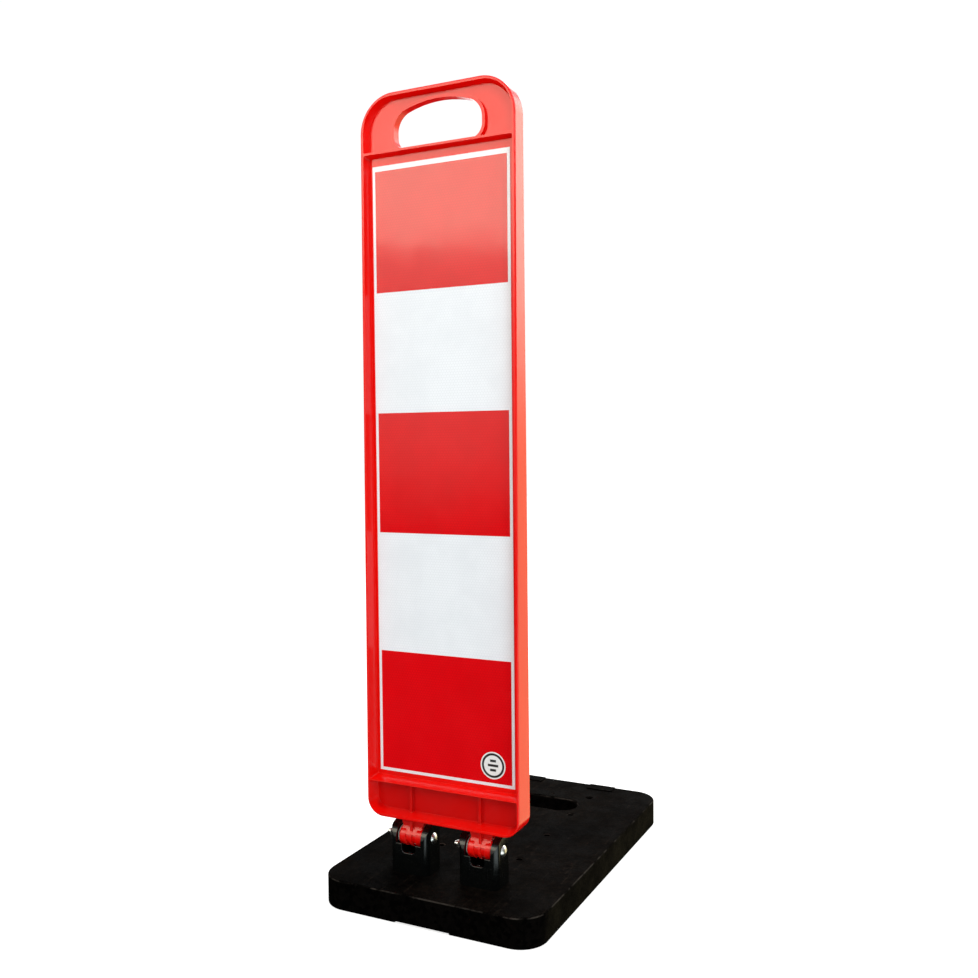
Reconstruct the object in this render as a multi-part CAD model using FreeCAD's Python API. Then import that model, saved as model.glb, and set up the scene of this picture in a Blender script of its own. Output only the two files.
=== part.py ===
import FreeCAD, Part
import math
import os

from FreeCAD import Vector

# Fold-down roadside delineator: a heavy recycled-rubber foot, two clevis brackets bolted to it,
# and a moulded panel with a reflective face on each side that hinges on two coach bolts.
# Millimetres. Origin: centre of the foot's underside. X is across the panel, +Y points to the
# back of the foot, +Z up. The front of the panel looks along -Y.

# ---- driving dimensions -------------------------------------------------------------------

FOOT_WIDTH = 395.0
FOOT_LENGTH = 620.0
FOOT_HEIGHT = 50.0
FOOT_CORNER = 47.0
FOOT_TOP_EDGE = 3.0
FOOT_BOTTOM_EDGE = 4.5

FACE_SETBACK = 87.0                                   # foot's front edge to the front film
FACE_Y = -FOOT_LENGTH / 2 + FACE_SETBACK              # outer surface of the front white film
WEB_THICK = 4.0
FILM_THICK = 0.5
INK_THICK = 0.2
LABEL_THICK = 0.2
WEB_MID_Y = FACE_Y + FILM_THICK + WEB_THICK / 2

BOARD_WIDTH = 280.0
BOARD_BOTTOM = FOOT_HEIGHT + 90.5
BOARD_TOP = FOOT_HEIGHT + 1279.0
BOARD_TOP_CORNER = 61.0
BOARD_BOTTOM_CORNER = 29.0
FRONT_DEPTH_TOP = 12.0                                # front rim ahead of the face, at the top
FRONT_DEPTH_BOTTOM = 19.5
BACK_DEPTH_TOP = 19.0                                 # back rim behind the face, at the top
BACK_DEPTH_BOTTOM = 24.5
RIM_ROUND = 2.2
WALL_SLOPE = 0.28                                     # draft of the recess walls
RECESS_HALF_WIDTH = 131.0                             # on the web

SHEET_WIDTH = 250.0
SHEET_HEIGHT = 1003.5
SHEET_BORDER = 5.0
SHEET_BORDER_TOP = 8.5
SHEET_BOTTOM = FOOT_HEIGHT + 163.5
BAND_COUNT = 5

FACE_RECESS_BOTTOM = FOOT_HEIGHT + 156.0              # on the web
FACE_RECESS_TOP = FOOT_HEIGHT + 1180.0
GRIP_RECESS_BOTTOM = FOOT_HEIGHT + 1191.0
GRIP_RECESS_TOP = FOOT_HEIGHT + 1270.0
FOOT_RECESS_BOTTOM = FOOT_HEIGHT + 101.0
FOOT_RECESS_TOP = FOOT_HEIGHT + 143.5
RECESS_CORNER = 3.0
RECESS_REACH = 25.0                                   # recess cutters run this far past the web
UPRIGHT_RISE = 6.0                                    # bottom pocket's uprights, proud of the web

GRIP_HALF_WIDTH = 80.0
GRIP_BOTTOM = FOOT_HEIGHT + 1187.5
GRIP_HEIGHT = 71.5
GRIP_LOW_CORNER = 22.0
GRIP_SHOULDER = 32.0
GRIP_SHOULDER_RISE = 31.5                             # shoulder centre above the grip's bottom
GRIP_ARCH = 180.0
GRIP_LIP = 5.0
GRIP_LIP_HALF_DEPTH = 7.5

HINGE_X = 64.0                                        # bracket centres, either side of the middle
HINGE_Y = FACE_Y + 7.5
HINGE_Z = FOOT_HEIGHT + 57.0

HUB_HALF_LENGTH = 22.0
HUB_RADIUS = 17.0
HUB_WAIST_RADIUS = 14.5
HUB_LOBE_LENGTH = 12.0
HUB_ROUND = 2.5
NECK_HALF_THICK = 7.0
NECK_LOW_RISE = 3.0                                   # neck's foot above the hinge line
SHOULDER_HALF_DEPTH = 15.5                            # where the neck swells into the hub
SHOULDER_LOW_RISE = 6.0
SHOULDER_HIGH_RISE = 18.5
NECK_WAIST = 18.0                                     # narrowest half width
NECK_WAIST_RISE = 14.0
NECK_HALF_WIDTH_TOP = 24.0
NECK_TOP_DROP = 2.5                                   # where it is that wide, below the board
NECK_RIB_THICK = 4.0
NECK_RIB_HALF_DEPTH = 13.0
LUG_ROOT = 6.0                                        # how far the neck runs up into the board

BRACKET_WIDTH = 72.0
BRACKET_DEPTH = 52.0
BRACKET_Y = HINGE_Y + 2.5                             # middle of the bracket, behind the hinge line
BRACKET_CORNER = 12.0
BRACKET_EDGE = 1.2                                    # rounding of the lips of the walls
EAR_HEAD_Z = HINGE_Z - 2.5
EAR_THICK = 12.7
WALL_THICK = 4.0
WALL_TOP = FOOT_HEIGHT + 49.0
BRACKET_FLOOR = 10.0
SOCKET_CORNER = 2.0
NOTCH_HALF_WIDTH = 12.5
NOTCH_BOTTOM = FOOT_HEIGHT + 34.5
NOTCH_CORNER = 6.0

ANCHOR_RADIUS = 5.0                                   # M10 hexagon bolts hold the brackets down
ANCHOR_HOLE_RADIUS = 5.3
ANCHOR_FLATS = 16.0
ANCHOR_HEAD_HEIGHT = 6.4
ANCHOR_NUT_HEIGHT = 7.0
ANCHOR_WASHER_RADIUS = 9.5
ANCHOR_BOLT_LENGTH = 65.0
ANCHOR_SPACING = 24.0

PIN_RADIUS = 4.0                                      # M8 coach bolts are the hinge pins
PIN_HOLE_RADIUS = 4.3
PIN_FLATS = 13.0
PIN_NUT_HEIGHT = 6.5
PIN_WASHER_RADIUS = 8.0
PIN_LENGTH = 88.0
DOME_RADIUS = 9.8
DOME_HEIGHT = 4.9
SQUARE_NECK = 8.0                                     # under the dome, sunk in the ear
SQUARE_NECK_DEPTH = 5.0
BOLT_TIP = 1.0
NYLON_COLLAR = 2.8
COLLAR_SHARE = 0.43                                   # collar radius over the nut's flats
WASHER_THICK = 2.0

BUSH_RADIUS = 6.5
BUSH_BORE_RADIUS = 4.08                               # runs on the hinge pin
FRICTION_WASHER_RADIUS = 15.0
SIDE_GAP = 0.3                                        # hub end to friction washer

PLATE_WIDTH = 58.0
PLATE_DEPTH = 40.0
PLATE_THICK = 4.0
PLATE_CORNER = 4.0
PLATE_ROOM = 2.0                                      # play of the plate in its pocket
PLATE_UNDERSIDE = 9.0                                 # above the ground

CHANNEL_HALF_WIDTH = 50.0
CHANNEL_DEPTH = 4.0
HAND_HOLE_WIDTH = 139.0
HAND_HOLE_DEPTH = 62.0
HAND_HOLE_Y = FACE_Y + 397.0
HAND_HOLE_EDGE = 4.0
HAND_HOLE_ROUND = 30.9
FIXING_X = 76.0
FIXING_ROWS = [FACE_Y + 119.0, FACE_Y + 239.0, FACE_Y + 353.0, FACE_Y + 454.0]
FIXING_RADIUS = 5.5
FIXING_DISH_RADIUS = 8.0
FIXING_DISH_DEPTH = 2.0
VENT_Y = FACE_Y + 447.0
VENT_RADIUS = 4.0
STACK_PAD_INNER = 50.0
STACK_PAD_OUTER = 105.0
STACK_PAD_LENGTH = 26.0
STACK_PAD_RISE = 1.8
STACK_PAD_CORNER = 3.0

LABEL_RADIUS = 22.0
LABEL_X = 86.5
LABEL_Z = FOOT_HEIGHT + 197.0

SIDES = {"left": -HINGE_X, "right": HINGE_X}
OVERSHOOT = 1.0                                       # cutters run this far past a face
SAME = 0.01                                           # places closer than this are the same place


# ---- shared shapes ------------------------------------------------------------------------

def box(x_low, x_high, y_low, y_high, z_low, z_high):
    return Part.makeBox(x_high - x_low, y_high - y_low, z_high - z_low, Vector(x_low, y_low, z_low))


def cylinder_x(radius, x_low, x_high, y, z):
    return Part.makeCylinder(radius, x_high - x_low, Vector(x_low, y, z), Vector(1, 0, 0))


def cylinder_z(radius, x, y, z_low, z_high):
    return Part.makeCylinder(radius, z_high - z_low, Vector(x, y, z_low), Vector(0, 0, 1))


def rounded_wire(points, radii):
    """A closed wire through the corner points, each corner rounded by its own radius."""
    count = len(points)
    starts = []
    ends = []
    middles = []
    for i in range(count):
        before = (points[i - 1] - points[i]).normalize()
        after = (points[(i + 1) % count] - points[i]).normalize()
        half_angle = before.getAngle(after) / 2
        reach = radii[i] / math.tan(half_angle)
        to_centre = (before + after).normalize()
        middle = to_centre * (radii[i] / math.sin(half_angle) - radii[i])
        starts.append(points[i] + before * reach)
        middles.append(points[i] + middle)
        ends.append(points[i] + after * reach)
    edges = []
    for i in range(count):
        edges.append(Part.Arc(starts[i], middles[i], ends[i]).toShape())
        edges.append(Part.LineSegment(ends[i], starts[(i + 1) % count]).toShape())
    return Part.Wire(edges)


def plan_prism(x, y, width, depth, radius, z_low, z_high):
    """Upright block with rounded corners in plan."""
    corners = []
    for side_x, side_y in ((-1, -1), (1, -1), (1, 1), (-1, 1)):
        corners.append(Vector(x + side_x * width / 2, y + side_y * depth / 2, z_low))
    wire = rounded_wire(corners, [radius] * 4)
    return Part.Face(wire).extrude(Vector(0, 0, z_high - z_low))


def front_wire(half_width, z_low, z_high, radius_low, radius_high, y):
    """Rounded rectangle that faces the front, in the plane at y."""
    corners = [Vector(-half_width, y, z_low), Vector(half_width, y, z_low),
               Vector(half_width, y, z_high), Vector(-half_width, y, z_high)]
    return rounded_wire(corners, [radius_low, radius_low, radius_high, radius_high])


def hexagon(flats, height):
    """Hexagon prism on the origin along +Z, its far corners chamfered."""
    corner_radius = flats / math.sqrt(3)
    points = []
    for i in range(7):
        angle = math.radians(60 * i)
        points.append(Vector(corner_radius * math.cos(angle), corner_radius * math.sin(angle), 0))
    prism = Part.Face(Part.makePolygon(points)).extrude(Vector(0, 0, height))
    bevel = corner_radius - flats / 2
    dome = Part.makeCone(corner_radius + height - bevel / 2, corner_radius - bevel / 2, height)
    return prism.common(dome)


def shank(radius, length):
    """Plain shank along +Z with a bevelled tip."""
    body = Part.makeCylinder(radius, length - BOLT_TIP)
    point = Part.makeCone(radius, radius - BOLT_TIP, BOLT_TIP, Vector(0, 0, length - BOLT_TIP))
    return body.fuse(point)


def hex_bolt():
    """Anchor bolt along +Z: the head sits below the origin, the shank runs up from it."""
    head = hexagon(ANCHOR_FLATS, ANCHOR_HEAD_HEIGHT)
    head.rotate(Vector(0, 0, 0), Vector(1, 0, 0), 180)
    return head.fuse(shank(ANCHOR_RADIUS, ANCHOR_BOLT_LENGTH)).removeSplitter()


def square_neck():
    half = SQUARE_NECK / 2
    return box(-half, half, -half, half, 0, SQUARE_NECK_DEPTH)


def coach_bolt():
    """Hinge pin along +Z: a smooth dome below the origin, a square neck, then the shank."""
    ball_radius = (DOME_RADIUS ** 2 + DOME_HEIGHT ** 2) / (2 * DOME_HEIGHT)
    ball = Part.makeSphere(ball_radius, Vector(0, 0, ball_radius - DOME_HEIGHT))
    below = Part.makeCylinder(DOME_RADIUS, DOME_HEIGHT, Vector(0, 0, -DOME_HEIGHT))
    dome = ball.common(below)
    return dome.fuse([square_neck(), shank(PIN_RADIUS, PIN_LENGTH)]).removeSplitter()


def lock_nut(flats, height, bore):
    """Hexagon nut with a nylon-ring collar, its bearing face on the origin, along +Z."""
    body = hexagon(flats, height)
    collar = Part.makeCylinder(flats * COLLAR_SHARE, NYLON_COLLAR, Vector(0, 0, height))
    hole = Part.makeCylinder(bore, height + NYLON_COLLAR)
    return body.fuse(collar).removeSplitter().cut(hole)


def ring(outer_radius, inner_radius, thick):
    disc = Part.makeCylinder(outer_radius, thick)
    return disc.cut(Part.makeCylinder(inner_radius, thick))


def placed_along_x(shape, x, reverse=False):
    """Turn a shape made along +Z onto the hinge line, starting at x."""
    piece = shape.copy()
    piece.rotate(Vector(0, 0, 0), Vector(0, 1, 0), -90 if reverse else 90)
    piece.translate(Vector(x, HINGE_Y, HINGE_Z))
    return piece


def placed_along_z(shape, x, y, z):
    piece = shape.copy()
    piece.translate(Vector(x, y, z))
    return piece


# ---- rubber foot --------------------------------------------------------------------------

def edges_at_height(shape, z):
    found = []
    for edge in shape.Edges:
        bounds = edge.BoundBox
        if abs(bounds.ZMin - z) < SAME and abs(bounds.ZMax - z) < SAME:
            found.append(edge)
    return found


def hand_hole():
    return plan_prism(0, HAND_HOLE_Y, HAND_HOLE_WIDTH, HAND_HOLE_DEPTH, HAND_HOLE_ROUND,
                      -OVERSHOOT, FOOT_HEIGHT + OVERSHOOT)


def hand_hole_mouth():
    """Flared top of the hand hole."""
    low_z = FOOT_HEIGHT - HAND_HOLE_EDGE
    low = []
    high = []
    for side_x, side_y in ((-1, -1), (1, -1), (1, 1), (-1, 1)):
        x = side_x * HAND_HOLE_WIDTH / 2
        y = side_y * HAND_HOLE_DEPTH / 2
        low.append(Vector(x, HAND_HOLE_Y + y, low_z))
        high.append(Vector(x + side_x * HAND_HOLE_EDGE, HAND_HOLE_Y + y + side_y * HAND_HOLE_EDGE,
                           FOOT_HEIGHT))
    low_wire = rounded_wire(low, [HAND_HOLE_ROUND] * 4)
    high_wire = rounded_wire(high, [HAND_HOLE_ROUND + HAND_HOLE_EDGE] * 4)
    return Part.makeLoft([low_wire, high_wire], True, True)


def fixing_hole(x, y):
    shaft = cylinder_z(FIXING_RADIUS, x, y, -OVERSHOOT, FOOT_HEIGHT + OVERSHOOT)
    dish = Part.makeCone(FIXING_RADIUS, FIXING_DISH_RADIUS, FIXING_DISH_DEPTH,
                         Vector(x, y, FOOT_HEIGHT - FIXING_DISH_DEPTH))
    return shaft.fuse(dish)


def anchor_places():
    places = []
    for centre in SIDES.values():
        for offset in (-ANCHOR_SPACING / 2, ANCHOR_SPACING / 2):
            places.append((centre + offset, BRACKET_Y))
    return places


def rubber_foot():
    foot = plan_prism(0, 0, FOOT_WIDTH, FOOT_LENGTH, FOOT_CORNER, 0, FOOT_HEIGHT)
    foot = foot.makeFillet(FOOT_TOP_EDGE, edges_at_height(foot, FOOT_HEIGHT))
    foot = foot.makeFillet(FOOT_BOTTOM_EDGE, edges_at_height(foot, 0))

    pads = []
    for side in (-1, 1):
        inner = side * STACK_PAD_INNER
        outer = side * STACK_PAD_OUTER
        back = FOOT_LENGTH / 2 - FOOT_TOP_EDGE
        width = STACK_PAD_OUTER - STACK_PAD_INNER
        pads.append(plan_prism((inner + outer) / 2, back - STACK_PAD_LENGTH / 2, width,
                               STACK_PAD_LENGTH, STACK_PAD_CORNER, FOOT_HEIGHT - OVERSHOOT,
                               FOOT_HEIGHT + STACK_PAD_RISE))
    foot = foot.fuse(pads)

    cuts = [box(-CHANNEL_HALF_WIDTH, CHANNEL_HALF_WIDTH, -FOOT_LENGTH, FOOT_LENGTH, -OVERSHOOT,
                CHANNEL_DEPTH),
            hand_hole(), hand_hole_mouth(),
            cylinder_z(VENT_RADIUS, 0, VENT_Y, -OVERSHOOT, FOOT_HEIGHT + OVERSHOOT)]
    for row in FIXING_ROWS:
        for side in (-1, 1):
            cuts.append(fixing_hole(side * FIXING_X, row))
    for centre in SIDES.values():
        cuts.append(plan_prism(centre, BRACKET_Y, PLATE_WIDTH + PLATE_ROOM, PLATE_DEPTH + PLATE_ROOM,
                               PLATE_CORNER + PLATE_ROOM / 2, -OVERSHOOT,
                               PLATE_UNDERSIDE + PLATE_THICK))
    for x, y in anchor_places():
        cuts.append(cylinder_z(ANCHOR_HOLE_RADIUS, x, y, 0, FOOT_HEIGHT + OVERSHOOT))
    return foot.cut(cuts)


# ---- brackets and their fixings -----------------------------------------------------------

def side_profile(x_low, x_high):
    """Side view of the bracket: a block with a half-round head."""
    y_low = BRACKET_Y - BRACKET_DEPTH / 2
    y_high = BRACKET_Y + BRACKET_DEPTH / 2
    head = cylinder_x(BRACKET_DEPTH / 2, x_low, x_high, BRACKET_Y, EAR_HEAD_Z)
    block = box(x_low, x_high, y_low, y_high, FOOT_HEIGHT, EAR_HEAD_Z)
    return block.fuse(head).removeSplitter()


def notch(centre):
    """U-shaped gap in the front and back walls that the lug's middle rib swings through."""
    y_low = BRACKET_Y - BRACKET_DEPTH
    above = HINGE_Z + BRACKET_DEPTH
    corners = [Vector(centre - NOTCH_HALF_WIDTH, y_low, NOTCH_BOTTOM),
               Vector(centre + NOTCH_HALF_WIDTH, y_low, NOTCH_BOTTOM),
               Vector(centre + NOTCH_HALF_WIDTH, y_low, above),
               Vector(centre - NOTCH_HALF_WIDTH, y_low, above)]
    wire = rounded_wire(corners, [NOTCH_CORNER] * 4)
    return Part.Face(wire).extrude(Vector(0, 2 * BRACKET_DEPTH, 0))


def lip_edges(body):
    """Outer edges of the notches and of the wall tops beside them, front and back."""
    found = []
    for edge in body.Edges:
        bounds = edge.BoundBox
        outside = abs(abs(bounds.Center.y - BRACKET_Y) - BRACKET_DEPTH / 2) < SAME
        if outside and bounds.YLength < SAME:
            if bounds.ZMin > NOTCH_BOTTOM - SAME and bounds.ZMax < WALL_TOP + SAME:
                found.append(edge)
    return found


def bracket(centre):
    x_low = centre - BRACKET_WIDTH / 2
    x_high = centre + BRACKET_WIDTH / 2
    inner_low = x_low + EAR_THICK
    inner_high = x_high - EAR_THICK
    top = HINGE_Z + BRACKET_DEPTH
    body = side_profile(x_low, x_high)
    body = body.common(plan_prism(centre, BRACKET_Y, BRACKET_WIDTH, BRACKET_DEPTH, BRACKET_CORNER,
                                  FOOT_HEIGHT, top))
    socket_depth = BRACKET_DEPTH - 2 * WALL_THICK
    socket = plan_prism(centre, BRACKET_Y, inner_high - inner_low, socket_depth, SOCKET_CORNER,
                        FOOT_HEIGHT + BRACKET_FLOOR, top)
    over_walls = box(inner_low, inner_high, BRACKET_Y - BRACKET_DEPTH, BRACKET_Y + BRACKET_DEPTH,
                     WALL_TOP, top)
    body = body.cut([socket, over_walls, notch(centre)]).removeSplitter()
    body = body.makeFillet(BRACKET_EDGE, lip_edges(body))
    holes = [cylinder_x(PIN_HOLE_RADIUS, x_low - OVERSHOOT, x_high + OVERSHOOT, HINGE_Y, HINGE_Z),
             placed_along_x(square_neck(), x_high, reverse=True)]
    for offset in (-ANCHOR_SPACING / 2, ANCHOR_SPACING / 2):
        holes.append(cylinder_z(ANCHOR_HOLE_RADIUS, centre + offset, BRACKET_Y,
                                FOOT_HEIGHT - OVERSHOOT, FOOT_HEIGHT + BRACKET_FLOOR + OVERSHOOT))
    return body.cut(holes)


def backing_plate(centre):
    plate = plan_prism(centre, BRACKET_Y, PLATE_WIDTH, PLATE_DEPTH, PLATE_CORNER, PLATE_UNDERSIDE,
                       PLATE_UNDERSIDE + PLATE_THICK)
    holes = []
    for offset in (-ANCHOR_SPACING / 2, ANCHOR_SPACING / 2):
        holes.append(cylinder_z(ANCHOR_HOLE_RADIUS, centre + offset, BRACKET_Y, 0, FOOT_HEIGHT))
    return plate.cut(holes)


def anchor_set(piece, z):
    """One copy of the piece at each place where a bracket is bolted down."""
    copies = []
    for x, y in anchor_places():
        copies.append(placed_along_z(piece, x, y, z))
    return Part.makeCompound(copies)


def anchor_bolts():
    return anchor_set(hex_bolt(), PLATE_UNDERSIDE)


def anchor_washers():
    return anchor_set(ring(ANCHOR_WASHER_RADIUS, ANCHOR_HOLE_RADIUS, WASHER_THICK),
                      FOOT_HEIGHT + BRACKET_FLOOR)


def anchor_nuts():
    return anchor_set(lock_nut(ANCHOR_FLATS, ANCHOR_NUT_HEIGHT, ANCHOR_RADIUS),
                      FOOT_HEIGHT + BRACKET_FLOOR + WASHER_THICK)


# ---- hinge hardware -----------------------------------------------------------------------

def hinge_bolts():
    """Domes on the right of each bracket, shanks pointing left."""
    bolts = []
    for centre in SIDES.values():
        bolts.append(placed_along_x(coach_bolt(), centre + BRACKET_WIDTH / 2, reverse=True))
    return Part.makeCompound(bolts)


def hinge_washers():
    washer = ring(PIN_WASHER_RADIUS, PIN_HOLE_RADIUS, WASHER_THICK)
    washers = []
    for centre in SIDES.values():
        washers.append(placed_along_x(washer, centre - BRACKET_WIDTH / 2, reverse=True))
    return Part.makeCompound(washers)


def hinge_nuts():
    nut = lock_nut(PIN_FLATS, PIN_NUT_HEIGHT, PIN_RADIUS)
    nuts = []
    for centre in SIDES.values():
        nuts.append(placed_along_x(nut, centre - BRACKET_WIDTH / 2 - WASHER_THICK, reverse=True))
    return Part.makeCompound(nuts)


def friction_washers(centre):
    """A plastic disc between each end of the hub and the bracket's ears."""
    ear_face = BRACKET_WIDTH / 2 - EAR_THICK
    thick = ear_face - HUB_HALF_LENGTH - SIDE_GAP
    disc = ring(FRICTION_WASHER_RADIUS, PIN_HOLE_RADIUS, thick)
    right = placed_along_x(disc, centre + ear_face - thick)
    left = placed_along_x(disc, centre - ear_face)
    return Part.makeCompound([left, right])


def lug_bush(centre):
    sleeve = ring(BUSH_RADIUS, BUSH_BORE_RADIUS, 2 * HUB_HALF_LENGTH)
    return placed_along_x(sleeve, centre - HUB_HALF_LENGTH)


# ---- panel board --------------------------------------------------------------------------

def depth_at(z, depth_bottom, depth_top):
    share = (z - BOARD_BOTTOM) / (BOARD_TOP - BOARD_BOTTOM)
    return depth_bottom + (depth_top - depth_bottom) * share


def board_blank():
    """Outline of the board, thicker at the bottom than at the top."""
    far = 2 * FRONT_DEPTH_BOTTOM + BACK_DEPTH_BOTTOM
    wire = front_wire(BOARD_WIDTH / 2, BOARD_BOTTOM, BOARD_TOP, BOARD_BOTTOM_CORNER,
                      BOARD_TOP_CORNER, FACE_Y - far)
    outline = Part.Face(wire).extrude(Vector(0, 2 * far, 0))
    x = -BOARD_WIDTH
    profile = []
    for z in (BOARD_BOTTOM - far, BOARD_TOP + far):
        front = FACE_Y - depth_at(z, FRONT_DEPTH_BOTTOM, FRONT_DEPTH_TOP)
        back = FACE_Y + depth_at(z, BACK_DEPTH_BOTTOM, BACK_DEPTH_TOP)
        profile.append((Vector(x, front, z), Vector(x, back, z)))
    low, high = profile
    section = Part.makePolygon([low[0], low[1], high[1], high[0], low[0]])
    wedge = Part.Face(section).extrude(Vector(2 * BOARD_WIDTH, 0, 0))
    blank = outline.common(wedge)
    rim_edges = []
    for edge in blank.Edges:
        middle = edge.valueAt((edge.FirstParameter + edge.LastParameter) / 2)
        across = edge.tangentAt(edge.FirstParameter)
        runs_across_thickness = abs(across.y) > 0.5 and edge.Length < BOARD_WIDTH / 2
        on_a_rim = abs(middle.y - WEB_MID_Y) > WEB_THICK
        if on_a_rim and not runs_across_thickness:
            rim_edges.append(edge)
    return blank.makeFillet(RIM_ROUND, rim_edges)


def recess(z_low, z_high, radius_low, radius_high, side):
    """Drafted pocket from the web out past the rim; side is -1 for the front, 1 for the back."""
    web_y = WEB_MID_Y + side * WEB_THICK / 2
    grow = RECESS_REACH * WALL_SLOPE
    inner = front_wire(RECESS_HALF_WIDTH, z_low, z_high, radius_low, radius_high, web_y)
    outer = front_wire(RECESS_HALF_WIDTH + grow, z_low - grow, z_high + grow, radius_low,
                       radius_high, web_y + side * RECESS_REACH)
    return Part.makeLoft([inner, outer], True, True)


def foot_recess(side):
    """Bottom pocket, with a low upright left standing above each lug."""
    low_corner = BOARD_BOTTOM_CORNER - (BOARD_WIDTH / 2 - RECESS_HALF_WIDTH)
    pocket = recess(FOOT_RECESS_BOTTOM, FOOT_RECESS_TOP, low_corner, RECESS_CORNER, side)
    y_far = WEB_MID_Y + side * (WEB_THICK / 2 + UPRIGHT_RISE)
    uprights = []
    for centre in SIDES.values():
        uprights.append(box(centre - NECK_RIB_THICK / 2, centre + NECK_RIB_THICK / 2,
                            min(WEB_MID_Y, y_far), max(WEB_MID_Y, y_far),
                            BOARD_BOTTOM, FACE_RECESS_BOTTOM))
    return pocket.cut(uprights)


def grip_shape(offset, half_depth):
    """Handle opening: flat below, round corners, arched above; offset grows it outwards."""
    half = GRIP_HALF_WIDTH + offset
    low = GRIP_BOTTOM - offset
    corner = GRIP_LOW_CORNER + offset
    shoulder = GRIP_SHOULDER + offset
    arch = GRIP_ARCH + offset
    shoulder_x = GRIP_HALF_WIDTH - GRIP_SHOULDER
    shoulder_z = GRIP_BOTTOM + GRIP_SHOULDER_RISE
    arch_z = GRIP_BOTTOM + GRIP_HEIGHT - GRIP_ARCH
    y = WEB_MID_Y - half_depth
    lean = math.atan2(shoulder_x, shoulder_z - arch_z)
    joint = Vector(arch * math.sin(lean), y, arch_z + arch * math.cos(lean))
    half_turn = (math.pi / 2 - lean) / 2
    shoulder_mid = Vector(shoulder_x + shoulder * math.cos(half_turn), y,
                          shoulder_z + shoulder * math.sin(half_turn))
    corner_x = half - corner
    corner_z = low + corner
    diagonal = corner * math.sqrt(0.5)

    def mirrored(point):
        return Vector(-point.x, point.y, point.z)

    low_right = Vector(corner_x, y, low)
    low_mid = Vector(corner_x + diagonal, y, corner_z - diagonal)
    side_low = Vector(half, y, corner_z)
    side_high = Vector(half, y, shoulder_z)
    top = Vector(0, y, arch_z + arch)
    edges = [Part.LineSegment(mirrored(low_right), low_right).toShape(),
             Part.Arc(low_right, low_mid, side_low).toShape(),
             Part.LineSegment(side_low, side_high).toShape(),
             Part.Arc(side_high, shoulder_mid, joint).toShape(),
             Part.Arc(joint, top, mirrored(joint)).toShape(),
             Part.Arc(mirrored(joint), mirrored(shoulder_mid), mirrored(side_high)).toShape(),
             Part.LineSegment(mirrored(side_high), mirrored(side_low)).toShape(),
             Part.Arc(mirrored(side_low), mirrored(low_mid), mirrored(low_right)).toShape()]
    return Part.Face(Part.Wire(edges)).extrude(Vector(0, 2 * half_depth, 0))


def hub(centre):
    """Barrel on the hinge line: a slim waist between two lobes with rounded outer ends."""
    x_low = centre - HUB_HALF_LENGTH
    x_high = centre + HUB_HALF_LENGTH
    pieces = [cylinder_x(HUB_WAIST_RADIUS, x_low, x_high, HINGE_Y, HINGE_Z)]
    for inner, outer in ((x_low + HUB_LOBE_LENGTH, x_low), (x_high - HUB_LOBE_LENGTH, x_high)):
        lobe = cylinder_x(HUB_RADIUS, min(inner, outer), max(inner, outer), HINGE_Y, HINGE_Z)
        rims = [edge for edge in lobe.Edges if edge.BoundBox.XLength < SAME
                and abs(edge.BoundBox.XMin - outer) < SAME]
        pieces.append(lobe.makeFillet(HUB_ROUND, rims))
    middle = NECK_RIB_THICK / 2
    pieces.append(cylinder_x(HUB_RADIUS, centre - middle, centre + middle, HINGE_Y, HINGE_Z))
    return pieces[0].fuse(pieces[1:])


def shoulder(centre):
    """Wedge that carries the neck's faces down into the hub, clear of the bracket's walls."""
    x = centre - NECK_WAIST
    low_z = HINGE_Z + SHOULDER_LOW_RISE
    high_z = HINGE_Z + SHOULDER_HIGH_RISE
    points = [Vector(x, HINGE_Y - SHOULDER_HALF_DEPTH, low_z),
              Vector(x, HINGE_Y - NECK_HALF_THICK, high_z),
              Vector(x, HINGE_Y + NECK_HALF_THICK, high_z),
              Vector(x, HINGE_Y + SHOULDER_HALF_DEPTH, low_z)]
    section = Part.makePolygon(points + points[:1])
    return Part.Face(section).extrude(Vector(2 * NECK_WAIST, 0, 0))


def neck(centre):
    """Waisted neck from the hub up into the board, with a rib down its middle."""
    y = HINGE_Y - NECK_HALF_THICK
    low_z = HINGE_Z + NECK_LOW_RISE
    waist_z = HINGE_Z + NECK_WAIST_RISE
    high_z = BOARD_BOTTOM - NECK_TOP_DROP
    root_z = BOARD_BOTTOM + LUG_ROOT

    def sides(half_width, z):
        return Vector(centre - half_width, y, z), Vector(centre + half_width, y, z)

    low_left, low_right = sides(HUB_HALF_LENGTH - HUB_ROUND, low_z)
    waist_left, waist_right = sides(NECK_WAIST, waist_z)
    high_left, high_right = sides(NECK_HALF_WIDTH_TOP, high_z)
    root_left, root_right = sides(NECK_HALF_WIDTH_TOP, root_z)
    edges = [Part.LineSegment(low_left, low_right).toShape(),
             Part.Arc(low_right, waist_right, high_right).toShape(),
             Part.LineSegment(high_right, root_right).toShape(),
             Part.LineSegment(root_right, root_left).toShape(),
             Part.LineSegment(root_left, high_left).toShape(),
             Part.Arc(high_left, waist_left, low_left).toShape()]
    body = Part.Face(Part.Wire(edges)).extrude(Vector(0, 2 * NECK_HALF_THICK, 0))
    rib = box(centre - NECK_RIB_THICK / 2, centre + NECK_RIB_THICK / 2,
              HINGE_Y - NECK_RIB_HALF_DEPTH, HINGE_Y + NECK_RIB_HALF_DEPTH, HINGE_Z, root_z)
    return body.fuse([rib, shoulder(centre)])


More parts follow.
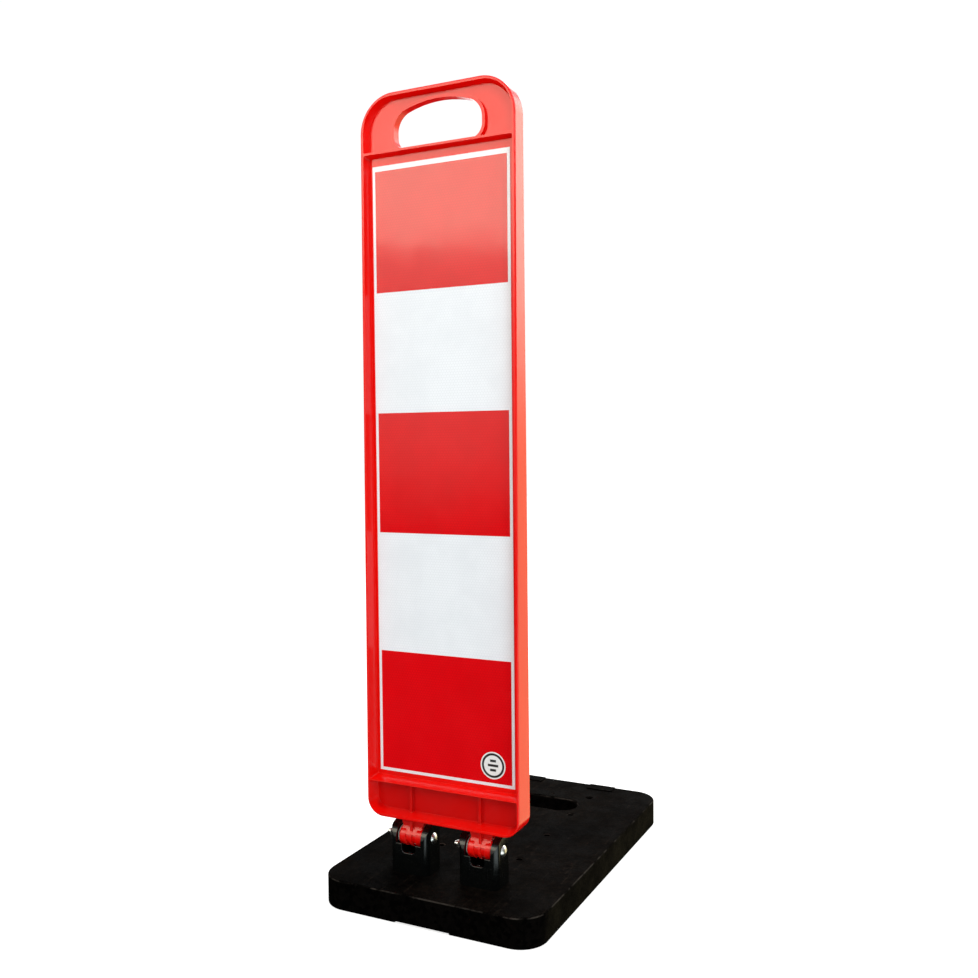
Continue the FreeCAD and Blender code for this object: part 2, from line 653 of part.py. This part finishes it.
def panel_board():
    board = board_blank()
    cuts = []
    grip_corner = BOARD_TOP_CORNER - (BOARD_WIDTH / 2 - RECESS_HALF_WIDTH)
    for side in (-1, 1):
        cuts.append(recess(FACE_RECESS_BOTTOM, FACE_RECESS_TOP, RECESS_CORNER, RECESS_CORNER, side))
        cuts.append(recess(GRIP_RECESS_BOTTOM, GRIP_RECESS_TOP, RECESS_CORNER, grip_corner, side))
        cuts.append(foot_recess(side))
    board = board.cut(cuts)
    additions = [grip_shape(GRIP_LIP, GRIP_LIP_HALF_DEPTH)]
    for centre in SIDES.values():
        additions.append(hub(centre))
        additions.append(neck(centre))
    board = board.fuse(additions)
    holes = [grip_shape(0, BOARD_WIDTH)]
    for centre in SIDES.values():
        holes.append(cylinder_x(BUSH_RADIUS, centre - HUB_HALF_LENGTH - OVERSHOOT,
                                centre + HUB_HALF_LENGTH + OVERSHOOT, HINGE_Y, HINGE_Z))
    return board.cut(holes).removeSplitter()


# ---- reflective faces ---------------------------------------------------------------------

def white_film(side):
    half = SHEET_WIDTH / 2
    surface = WEB_MID_Y + side * WEB_THICK / 2
    outer = surface + side * FILM_THICK
    return box(-half, half, min(surface, outer), max(surface, outer), SHEET_BOTTOM,
               SHEET_BOTTOM + SHEET_HEIGHT)


def red_bands(side):
    """Every other band of the striped area, starting with the lowest."""
    half = SHEET_WIDTH / 2 - SHEET_BORDER
    band = (SHEET_HEIGHT - SHEET_BORDER - SHEET_BORDER_TOP) / BAND_COUNT
    surface = WEB_MID_Y + side * (WEB_THICK / 2 + FILM_THICK)
    outer = surface + side * INK_THICK
    bands = []
    for i in range(0, BAND_COUNT, 2):
        low = SHEET_BOTTOM + SHEET_BORDER + i * band
        bands.append(box(-half, half, min(surface, outer), max(surface, outer), low, low + band))
    return Part.makeCompound(bands)


def round_label():
    y = FACE_Y - INK_THICK - LABEL_THICK
    return Part.makeCylinder(LABEL_RADIUS, LABEL_THICK, Vector(LABEL_X, y, LABEL_Z), Vector(0, 1, 0))


# ---- write the parts ----------------------------------------------------------------------

def all_parts():
    parts = {
        "rubber_base": rubber_foot(),
        "panel_board": panel_board(),
        "anchor_bolts": anchor_bolts(),
        "anchor_washers": anchor_washers(),
        "anchor_nuts": anchor_nuts(),
        "hinge_bolts": hinge_bolts(),
        "hinge_washers": hinge_washers(),
        "hinge_nuts": hinge_nuts(),
        "front_white_film": white_film(-1),
        "front_red_bands": red_bands(-1),
        "back_white_film": white_film(1),
        "back_red_bands": red_bands(1),
        "round_label": round_label(),
    }
    for name, centre in SIDES.items():
        parts[name + "_bracket"] = bracket(centre)
        parts[name + "_backing_plate"] = backing_plate(centre)
        parts[name + "_friction_washers"] = friction_washers(centre)
        parts[name + "_lug_bush"] = lug_bush(centre)
    return parts


os.makedirs("parts", exist_ok=True)
for node, shape in all_parts().items():
    shape.exportStep("parts/" + node + ".step")
    print(node, "solids", len(shape.Solids), "valid", shape.isValid(), "volume", round(shape.Volume))
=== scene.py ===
import math

import bpy
from mathutils import Euler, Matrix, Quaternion, Vector


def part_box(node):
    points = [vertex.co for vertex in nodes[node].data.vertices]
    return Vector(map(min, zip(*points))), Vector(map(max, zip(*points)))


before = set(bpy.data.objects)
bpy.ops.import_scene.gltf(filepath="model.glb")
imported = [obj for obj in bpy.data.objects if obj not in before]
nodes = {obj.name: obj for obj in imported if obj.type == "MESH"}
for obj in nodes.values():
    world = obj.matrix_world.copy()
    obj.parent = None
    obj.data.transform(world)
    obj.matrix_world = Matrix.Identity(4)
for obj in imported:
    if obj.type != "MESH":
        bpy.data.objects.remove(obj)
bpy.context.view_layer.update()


# ---- writing materials --------------------------------------------------------------------

class Graph:
    """A material's node tree, with short calls for the nodes that the finishes share."""

    def __init__(self, name):
        self.material = bpy.data.materials.new(name)
        self.material.use_nodes = True
        self.tree = self.material.node_tree
        self.tree.nodes.clear()
        self.output = self.tree.nodes.new("ShaderNodeOutputMaterial")
        self.shader = self.tree.nodes.new("ShaderNodeBsdfPrincipled")
        self.tree.links.new(self.shader.outputs["BSDF"], self.output.inputs["Surface"])
        self.place = self.node("ShaderNodeTexCoord").outputs["Object"]

    def node(self, kind, settings=None, **sockets):
        """A node with its settings, and its inputs by name with _ for a space."""
        made = self.tree.nodes.new(kind)
        for key, value in (settings or {}).items():
            setattr(made, key, value)
        for key, value in sockets.items():
            self.feed(made.inputs[key.replace("_", " ")], value)
        return made

    def feed(self, socket, value):
        if isinstance(value, bpy.types.NodeSocket):
            self.tree.links.new(value, socket)
        else:
            socket.default_value = value

    def math(self, operation, first, second=0.0, third=0.0):
        made = self.tree.nodes.new("ShaderNodeMath")
        made.operation = operation
        for socket, value in zip(made.inputs, (first, second, third)):
            self.feed(socket, value)
        return made.outputs[0]

    def axes(self, vector=None):
        """The X, Y and Z parts of a vector, or of the place on the object."""
        split = self.node("ShaderNodeSeparateXYZ", Vector=vector or self.place)
        return split.outputs

    def stretched(self, scale):
        """The place on the object with each axis multiplied, for grain that runs one way."""
        return self.node("ShaderNodeMapping", Vector=self.place, Scale=scale).outputs[0]

    def noise(self, scale, detail=4.0, roughness=0.55, vector=None):
        made = self.node("ShaderNodeTexNoise", Vector=vector or self.place, Scale=scale,
                         Detail=detail, Roughness=roughness)
        return made.outputs["Fac"]

    def cells(self, scale, feature="F1", output="Distance", vector=None):
        made = self.node("ShaderNodeTexVoronoi", {"feature": feature}, Vector=vector or self.place,
                         Scale=scale)
        return made.outputs[output]

    def remap(self, value, low, high, to_low=0.0, to_high=1.0, smooth=True):
        kind = "SMOOTHSTEP" if smooth else "LINEAR"
        made = self.node("ShaderNodeMapRange", {"interpolation_type": kind}, Value=value)
        for key, number in (("From Min", low), ("From Max", high), ("To Min", to_low), ("To Max", to_high)):
            made.inputs[key].default_value = number
        return made.outputs["Result"]

    def below(self, value, limit, soft):
        """1 where the value is under the limit, fading to 0 within the soft distance of it."""
        return self.remap(value, limit - soft, limit + soft, 1.0, 0.0)

    def distance(self, value, centre):
        return self.math("ABSOLUTE", self.math("SUBTRACT", value, centre))

    def patches(self, scale, low, high, detail=4.0, roughness=0.6):
        """Noise stretched between two levels: patches where it passes the high one."""
        return self.remap(self.noise(scale, detail, roughness), low, high)

    def blend(self, amount, first, second, kind="MIX"):
        made = self.node("ShaderNodeMix", {"data_type": "RGBA", "blend_type": kind})
        colour_inputs = [s for s in made.inputs if s.type == "RGBA"]
        self.feed(made.inputs[0], amount)
        for socket, value in zip(colour_inputs, (first, second)):
            self.feed(socket, value if isinstance(value, bpy.types.NodeSocket) else (*value, 1.0))
        return [s for s in made.outputs if s.type == "RGBA"][0]

    def bump(self, height, distance, strength=1.0, normal=None):
        made = self.node("ShaderNodeBump", Height=height, Distance=distance, Strength=strength)
        if normal is not None:
            self.feed(made.inputs["Normal"], normal)
        return made.outputs["Normal"]

    def edge(self, radius, low, high):
        """1 on sharp edges and 0 away from them: where a rounded normal leaves the true one."""
        rounded = self.node("ShaderNodeBevel", {"samples": 6}, Radius=radius).outputs[0]
        true = self.node("ShaderNodeNewGeometry").outputs["Normal"]
        made = self.node("ShaderNodeVectorMath", {"operation": "DOT_PRODUCT"})
        self.feed(made.inputs[0], rounded)
        self.feed(made.inputs[1], true)
        return self.remap(self.math("SUBTRACT", 1.0, made.outputs["Value"]), low, high)

    def set(self, **sockets):
        for key, value in sockets.items():
            socket = self.shader.inputs[key.replace("_", " ")]
            if isinstance(value, tuple) and len(value) == 3:
                value = (*value, 1.0)
            self.feed(socket, value)
        return self.material


def paint(node, material):
    mesh = nodes[node].data
    mesh.materials.clear()
    mesh.materials.append(material)


# ---- finishes -----------------------------------------------------------------------------

# Metres.
FOOT_TOP = 0.050
CELL_PITCH = 0.0042
POCKET_LOW_Z = 0.1505
POCKET_HIGH_Z = 0.1945
POCKET_HALF_WIDTH = 0.129


def rubber():
    """Recycled rubber: pressed granules, dusty and scuffed on top, with a painted highlight along its top
    edge.
    """
    g = Graph("recycled_rubber")
    z = g.axes()[2]
    up = g.axes(g.node("ShaderNodeNewGeometry").outputs["Normal"])[2]
    facing_up = g.remap(up, 0.6, 0.98)
    crumb_shade = g.axes(g.cells(150.0, output="Color"))[0]
    tone = g.blend(g.remap(crumb_shade, 0.1, 1.0), (0.0004, 0.0003, 0.0003), (0.0018, 0.0014, 0.0012))
    cloud = g.patches(6.0, 0.36, 0.68, 6.0, 0.62)
    fine = g.patches(110.0, 0.40, 0.66, 5.0, 0.65)
    dust = g.math("MULTIPLY", g.math("MULTIPLY", cloud, g.remap(fine, 0.0, 1.0, 0.3, 1.0)), facing_up)
    colour = g.blend(g.math("MULTIPLY", dust, 0.7), tone, (0.0070, 0.0048, 0.0034))
    streaks = g.noise(1.0, 5.0, 0.65, g.stretched((130.0, 6.0, 60.0)))
    scratch = g.math("MULTIPLY", g.remap(streaks, 0.54, 0.70), g.math("MULTIPLY", facing_up, fine))
    colour = g.blend(g.math("MULTIPLY", scratch, 0.7), colour, (0.016, 0.0115, 0.0085))
    # Painted highlight: a lighter band just under the foot's top edge, broken into patches.
    rising = g.remap(z, FOOT_TOP - 0.0030, FOOT_TOP - 0.0018)
    top_edge = g.math("MULTIPLY", rising, g.below(z, FOOT_TOP - 0.0006, 0.0004))
    edge_highlight = g.math("MULTIPLY", top_edge, g.patches(30.0, 0.42, 0.60, detail=5.0))
    colour = g.blend(g.math("MULTIPLY", edge_highlight, 0.5), colour, (0.060, 0.051, 0.044))
    rough = g.remap(g.noise(24.0, 4.0, 0.6), 0.3, 0.7, 0.66, 0.86)
    pits = g.bump(g.cells(420.0), 0.0006, 0.5)
    relief = g.bump(g.noise(230.0, 6.0, 0.7), 0.0009, 0.55, pits)
    return g.set(Base_Color=colour, Roughness=rough, Normal=relief, Specular_IOR_Level=0.01)


def lower_pocket(g, x, y, z):
    """1 on the web and low walls of the pocket at the board's foot, front and back, where the painted shade
    of the recess goes.
    """
    web_y = (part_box("front_white_film")[0][1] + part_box("back_white_film")[1][1]) / 2
    above = g.remap(z, POCKET_LOW_Z - 0.0025, POCKET_LOW_Z + 0.0025)
    tall = g.math("MULTIPLY", above, g.below(z, POCKET_HIGH_Z, 0.0025))
    area = g.math("MULTIPLY", tall, g.below(g.math("ABSOLUTE", x), POCKET_HALF_WIDTH, 0.003))
    return g.math("MULTIPLY", area, g.below(g.distance(y, web_y), 0.010, 0.004))


def board_plastic():
    """Red-orange moulded board: flow marks, a fine skin, rubbed rims and painted shade in the lower pocket.
    """
    g = Graph("board_plastic")
    x, y, z = g.axes()
    flow = g.noise(1.0, 3.0, 0.5, g.stretched((9.0, 9.0, 2.0)))
    body = g.blend(g.remap(flow, 0.3, 0.7), (0.76, 0.0018, 0.0008), (0.84, 0.0032, 0.0012))
    scuff_lines = g.noise(1.0, 5.0, 0.6, g.stretched((210.0, 210.0, 18.0)))
    scuff_area = g.patches(9.0, 0.54, 0.68)
    scuffs = g.math("MULTIPLY", g.remap(scuff_lines, 0.62, 0.76), scuff_area)
    colour = g.blend(g.math("MULTIPLY", scuffs, 0.18), body, (0.90, 0.13, 0.08))
    rub = g.math("MULTIPLY", g.edge(0.0018, 0.04, 0.30), g.patches(60.0, 0.35, 0.62))
    colour = g.blend(g.math("MULTIPLY", rub, 0.30), colour, (0.95, 0.20, 0.13))
    # Darker patches towards the bottom of the board, fading out above 0.30 m.
    low_patches = g.patches(26.0, 0.50, 0.80, 6.0, 0.62)
    low_darkening = g.math("MULTIPLY", g.remap(z, 0.30, 0.12), low_patches)
    colour = g.blend(g.math("MULTIPLY", low_darkening, 0.30), colour, (0.50, 0.012, 0.006))
    # Painted shade: the lower pocket's web and walls darkened to a deep red.
    pocket_shade = lower_pocket(g, x, y, z)
    colour = g.blend(g.math("MULTIPLY", pocket_shade, 0.7), colour, (0.46, 0.0006, 0.0006))
    rough = g.remap(g.noise(30.0, 4.0, 0.6), 0.3, 0.7, 0.14, 0.21)
    skin = g.bump(g.noise(900.0, 3.0, 0.6), 0.00010, 0.4)
    waves = g.bump(g.noise(22.0, 2.0, 0.5), 0.0008, 0.25, skin)
    return g.set(Base_Color=colour, Roughness=rough, Normal=waves, Specular_IOR_Level=0.38)


def honeycomb(g, pitch):
    """1 along the walls of small hexagonal cells on the face of the sheeting, 0 inside them."""
    x, y, z = g.axes()
    turn = 2 * math.pi / pitch
    waves = []
    for step in range(3):
        angle = math.radians(60 * step + 30)
        along = g.math("ADD", g.math("MULTIPLY", x, math.cos(angle) * turn),
                       g.math("MULTIPLY", z, math.sin(angle) * turn))
        waves.append(g.math("COSINE", along))
    total = g.math("ADD", g.math("ADD", waves[0], waves[1]), waves[2])
    return g.remap(total, -0.55, -1.15)


def sheeting(name, base, wall_colour, tint):
    """Prismatic reflective sheeting: tiny cells under a clear, slightly rippled top film."""
    g = Graph(name)
    walls = honeycomb(g, CELL_PITCH)
    blotch = g.patches(16.0, 0.3, 0.7)
    body = g.blend(blotch, base, tint)
    colour = g.blend(g.math("MULTIPLY", walls, 0.55), body, wall_colour)
    rough = g.remap(g.noise(34.0, 4.0, 0.6), 0.3, 0.7, 0.07, 0.11)
    cells = g.bump(walls, 0.00010, 0.35)
    ripple = g.bump(g.noise(14.0, 2.0, 0.5), 0.0009, 0.3, cells)
    return g.set(Base_Color=colour, Roughness=rough, Normal=ripple, Specular_IOR_Level=0.5)


def gloss_black():
    """Gloss black moulded bracket with a little dust and fine scratches."""
    g = Graph("bracket_black")
    dust = g.patches(110.0, 0.50, 0.78, 6.0, 0.65)
    colour = g.blend(g.math("MULTIPLY", dust, 0.30), (0.0018, 0.0022, 0.0022), (0.0085, 0.0085, 0.0080))
    scratches = g.remap(g.noise(1.0, 4.0, 0.6, g.stretched((500.0, 500.0, 40.0))), 0.62, 0.70)
    rough = g.math("ADD", g.remap(g.noise(60.0, 4.0, 0.6), 0.3, 0.7, 0.10, 0.22),
                   g.math("MULTIPLY", scratches, 0.15))
    relief = g.bump(g.noise(300.0, 3.0, 0.6), 0.00015, 0.3)
    return g.set(Base_Color=colour, Roughness=rough, Normal=relief, Specular_IOR_Level=0.4)


def zinc():
    """Bright zinc plate on steel, with a faint yellow-blue bloom and fine drawn lines."""
    g = Graph("zinc_steel")
    bloom = g.patches(90.0, 0.35, 0.65)
    colour = g.blend(bloom, (0.66, 0.68, 0.71), (0.74, 0.71, 0.63))
    lines = g.noise(1.0, 4.0, 0.6, g.stretched((90.0, 900.0, 900.0)))
    rough = g.remap(lines, 0.3, 0.7, 0.18, 0.34)
    relief = g.bump(lines, 0.0001, 0.3)
    return g.set(Base_Color=colour, Metallic=1.0, Roughness=rough, Normal=relief)


def nylon():
    """Pale nylon, for the friction washers."""
    g = Graph("nylon")
    tone = g.patches(80.0, 0.3, 0.7)
    colour = g.blend(tone, (0.66, 0.63, 0.54), (0.76, 0.74, 0.66))
    return g.set(Base_Color=colour, Roughness=0.45, Normal=g.bump(g.noise(500.0), 0.0001, 0.4))


def label_print():
    """White disc with a black outer ring and a plain mark of three bars."""
    g = Graph("label_print")
    low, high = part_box("round_label")
    centre_x = (low[0] + high[0]) / 2
    centre_z = (low[2] + high[2]) / 2
    radius = (high[0] - low[0]) / 2
    x, y, z = g.axes()
    across = g.math("SUBTRACT", x, centre_x)
    up = g.math("SUBTRACT", z, centre_z)
    side = g.math("ABSOLUTE", g.math("DIVIDE", across, radius))
    rise = g.math("DIVIDE", up, radius)
    reach = g.math("SQRT", g.math("ADD", g.math("MULTIPLY", across, across), g.math("MULTIPLY", up, up)))
    share = g.math("DIVIDE", reach, radius)
    soft = 0.02
    ring_inner = 0.74
    ring_outer = 0.90
    past_inner = g.remap(share, ring_inner - soft, ring_inner + soft)
    mark = g.math("MULTIPLY", past_inner, g.below(share, ring_outer, soft))
    half_thick = 0.09
    for height, half_width in ((0.34, 0.24), (0.0, 0.42), (-0.34, 0.24)):
        tall = g.below(g.distance(rise, height), half_thick, soft)
        wide = g.below(side, half_width, soft)
        mark = g.math("MAXIMUM", mark, g.math("MULTIPLY", tall, wide))
    paper = g.blend(g.remap(g.noise(200.0), 0.3, 0.7), (0.74, 0.75, 0.76), (0.82, 0.83, 0.84))
    colour = g.blend(mark, paper, (0.012, 0.012, 0.013))
    return g.set(Base_Color=colour, Roughness=0.3, Normal=g.bump(g.noise(300.0), 0.00008, 0.3))


def finish_nodes():
    steel = zinc()
    black = gloss_black()
    white = sheeting("white_sheeting", (0.79, 0.82, 0.88), (0.70, 0.73, 0.79), (0.84, 0.87, 0.93))
    red = sheeting("red_sheeting", (0.66, 0.0008, 0.0036), (0.53, 0.0006, 0.0028), (0.72, 0.0012, 0.0046))
    plastic_disc = nylon()
    paint("rubber_base", rubber())
    paint("panel_board", board_plastic())
    paint("round_label", label_print())
    for face in ("front", "back"):
        paint(face + "_white_film", white)
        paint(face + "_red_bands", red)
    for side in ("left", "right"):
        paint(side + "_bracket", black)
        paint(side + "_backing_plate", steel)
        paint(side + "_lug_bush", steel)
        paint(side + "_friction_washers", plastic_disc)
    for part in ("anchor_bolts", "anchor_washers", "anchor_nuts", "hinge_bolts", "hinge_washers",
                 "hinge_nuts"):
        paint(part, steel)


# ---- stage, light and camera --------------------------------------------------------------

FLOOR_GLOW = 0.75
BACKDROP = 1.02
SKY_LOW = 0.02
SKY_HIGH = 0.52
SKY_COLOUR = (0.96, 0.98, 1.0)
# Bright walls round the set: middle direction, inner and outer angle in degrees, colour, strength.
GLOWS = [
    ((-0.47, -0.85, 0.13), 4.0, 13.0, (1.0, 0.94, 0.84), 1.3),
    ((0.42, 0.90, 0.44), 8.0, 25.0, (1.0, 1.0, 1.0), 2.35),
    ((0.42, 0.90, -0.12), 20.0, 45.0, (1.0, 0.86, 0.46), 1.5),
    ((0.84, -0.41, -0.37), 12.0, 38.0, (0.86, 1.0, 1.0), 2.2),
]


def floor():
    """A wide floor that looks white, yet throws back only as much light as a pale grey one."""
    half = 12.0
    mesh = bpy.data.meshes.new("floor")
    corners = [(-half, -half, 0), (half, -half, 0), (half, half, 0), (-half, half, 0)]
    mesh.from_pydata(corners, [], [(0, 1, 2, 3)])
    plane = bpy.data.objects.new("floor", mesh)
    bpy.context.scene.collection.objects.link(plane)
    g = Graph("pale_floor")
    tone = g.blend(g.remap(g.noise(3.0), 0.3, 0.7), (0.54, 0.54, 0.54), (0.56, 0.56, 0.56))
    seen = g.math("MULTIPLY", g.node("ShaderNodeLightPath").outputs["Is Camera Ray"], FLOOR_GLOW)
    mesh.materials.append(g.set(Base_Color=tone, Roughness=0.9, Specular_IOR_Level=0.1,
                                Emission_Color=(1.0, 1.0, 1.0), Emission_Strength=seen))
    plane.visible_glossy = False
    plane.visible_shadow = False


def glow(tree, direction, middle, inner, outer):
    """1 within a cone of the sky about the middle direction, fading to 0 outside it."""
    links = tree.links
    dot = tree.nodes.new("ShaderNodeVectorMath")
    dot.operation = "DOT_PRODUCT"
    dot.inputs[1].default_value = Vector(middle).normalized()
    links.new(direction, dot.inputs[0])
    fade = tree.nodes.new("ShaderNodeMapRange")
    fade.interpolation_type = "SMOOTHSTEP"
    fade.inputs["From Min"].default_value = math.cos(math.radians(outer))
    fade.inputs["From Max"].default_value = math.cos(math.radians(inner))
    links.new(dot.outputs["Value"], fade.inputs["Value"])
    return fade.outputs["Result"]


def background(tree, colour, strength):
    shade = tree.nodes.new("ShaderNodeBackground")
    shade.inputs["Color"].default_value = (*colour, 1.0)
    if isinstance(strength, bpy.types.NodeSocket):
        tree.links.new(strength, shade.inputs["Strength"])
    else:
        shade.inputs["Strength"].default_value = strength
    return shade.outputs[0]


def scaled(tree, value, factor):
    made = tree.nodes.new("ShaderNodeMath")
    made.operation = "MULTIPLY"
    tree.links.new(value, made.inputs[0])
    made.inputs[1].default_value = factor
    return made.outputs[0]


def sky():
    """Soft studio surroundings: pale overhead, dim low down, with bright walls round the set."""
    world = bpy.data.worlds.new("studio")
    bpy.context.scene.world = world
    world.use_nodes = True
    tree = world.node_tree
    tree.nodes.clear()
    links = tree.links
    output = tree.nodes.new("ShaderNodeOutputWorld")
    direction = tree.nodes.new("ShaderNodeTexCoord").outputs["Generated"]
    split = tree.nodes.new("ShaderNodeSeparateXYZ")
    links.new(direction, split.inputs[0])
    height = tree.nodes.new("ShaderNodeMapRange")
    for key, value in (("From Min", 0.08), ("From Max", 0.45), ("To Min", SKY_LOW), ("To Max", SKY_HIGH)):
        height.inputs[key].default_value = value
    links.new(split.outputs[2], height.inputs["Value"])
    lit = background(tree, SKY_COLOUR, height.outputs["Result"])
    for middle, inner, outer, colour, strength in GLOWS:
        cone = glow(tree, direction, middle, inner, outer)
        more = tree.nodes.new("ShaderNodeAddShader")
        links.new(lit, more.inputs[0])
        links.new(background(tree, colour, scaled(tree, cone, strength)), more.inputs[1])
        lit = more.outputs[0]
    path = tree.nodes.new("ShaderNodeLightPath")
    mix = tree.nodes.new("ShaderNodeMixShader")
    links.new(path.outputs["Is Camera Ray"], mix.inputs[0])
    links.new(lit, mix.inputs[1])
    links.new(background(tree, (1.0, 1.0, 1.0), BACKDROP), mix.inputs[2])
    links.new(mix.outputs[0], output.inputs["Surface"])


def soft_light(name, place, target, width, height, radiance, colour):
    """A rectangular soft box of the given radiance."""
    light = bpy.data.lights.new(name, "AREA")
    light.shape = "RECTANGLE"
    light.size = width
    light.size_y = height
    light.energy = radiance * math.pi * width * height
    light.color = colour
    lamp = bpy.data.objects.new(name, light)
    bpy.context.scene.collection.objects.link(lamp)
    lamp.location = place
    lamp.rotation_euler = (Vector(target) - Vector(place)).to_track_quat("-Z", "Y").to_euler()


def lights():
    middle = (0.0, -0.2, 0.9)
    soft_light("front_left", (-2.1, -4.0, 2.85), middle, 2.4, 1.9, 4.7, (1.0, 0.94, 0.74))
    soft_light("front_right", (2.5, -2.6, 3.1), middle, 2.2, 2.2, 5.0, (0.94, 0.98, 1.0))
    soft_light("top", (0.2, -0.2, 4.2), (0.0, 0.0, 0.0), 3.0, 3.0, 2.2, (1.0, 1.0, 1.0))
    soft_light("back", (-1.2, 3.6, 2.2), middle, 3.0, 2.4, 2.6, (1.0, 1.0, 1.0))


def camera():
    """Stands to the front right, just above mid-height, looking very slightly down."""
    data = bpy.data.cameras.new("camera")
    data.lens = 37.81
    data.sensor_width = 36.0
    data.dof.use_dof = False
    eye = bpy.data.objects.new("camera", data)
    bpy.context.scene.collection.objects.link(eye)
    eye.location = (0.8048, -1.6748, 0.7583)
    heading = math.radians(26.411)
    dip = math.radians(2.449)
    roll = math.radians(0.539)
    aim = Euler((math.pi / 2 - dip, 0.0, heading)).to_quaternion()
    eye.rotation_mode = "QUATERNION"
    eye.rotation_quaternion = aim @ Quaternion((0.0, 0.0, 1.0), -roll)
    bpy.context.scene.camera = eye


def colour_management():
    view = bpy.context.scene.view_settings
    view.view_transform = "Standard"
    view.look = "None"


finish_nodes()
floor()
sky()
lights()
camera()
colour_management()
